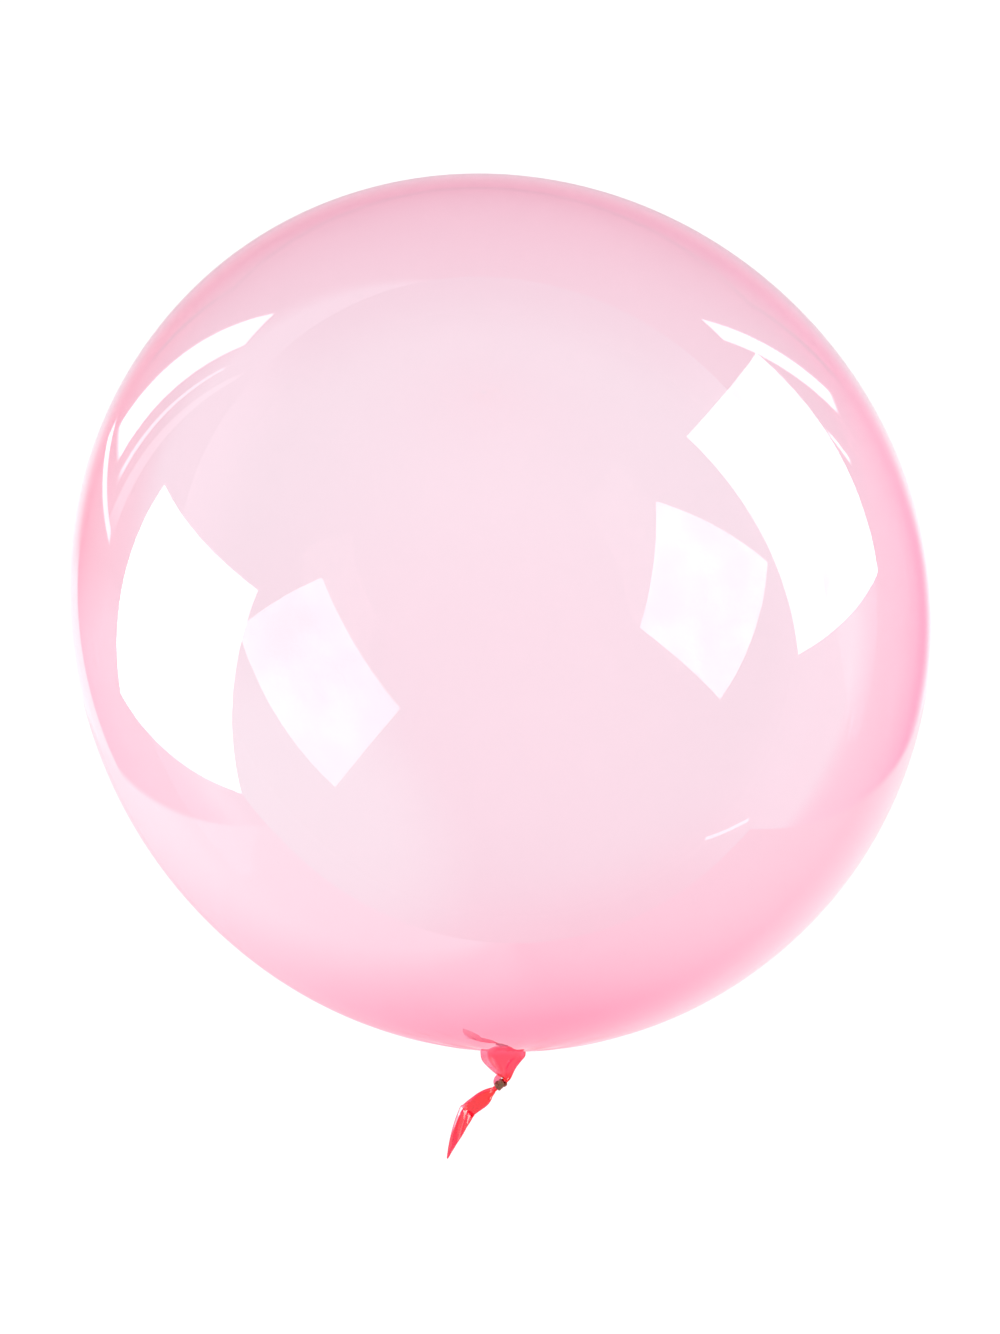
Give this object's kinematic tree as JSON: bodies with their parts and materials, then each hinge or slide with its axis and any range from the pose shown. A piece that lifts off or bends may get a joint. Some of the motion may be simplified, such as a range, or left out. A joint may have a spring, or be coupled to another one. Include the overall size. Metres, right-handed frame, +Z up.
{
  "type": "clear bubble balloon",
  "caption": "Clear pink bubble balloon, blown nearly round, lying on its side, with a gathered neck held by a wound tie and a loose folded tail.",
  "frame": {"origin": "middle of the small flat spot that the balloon lies on, under the middle of the bubble", "axes": "+Z up, out of the ground; the neck points along -Y and the tail past it leans towards -X"},
  "size_m": [0.5239, 0.6011, 0.5263],
  "materials": {
    "film": "thin clear pink stretched film, glossy, see-through, deeper pink towards the neck and where it lies in folds",
    "tie_band": "dark olive brown elastic band wound round the neck, dull"
  },
  "bodies": {
    "root": {"envelope": "film", "neck_tie": "tie_band"}
  },
  "joints": []
}
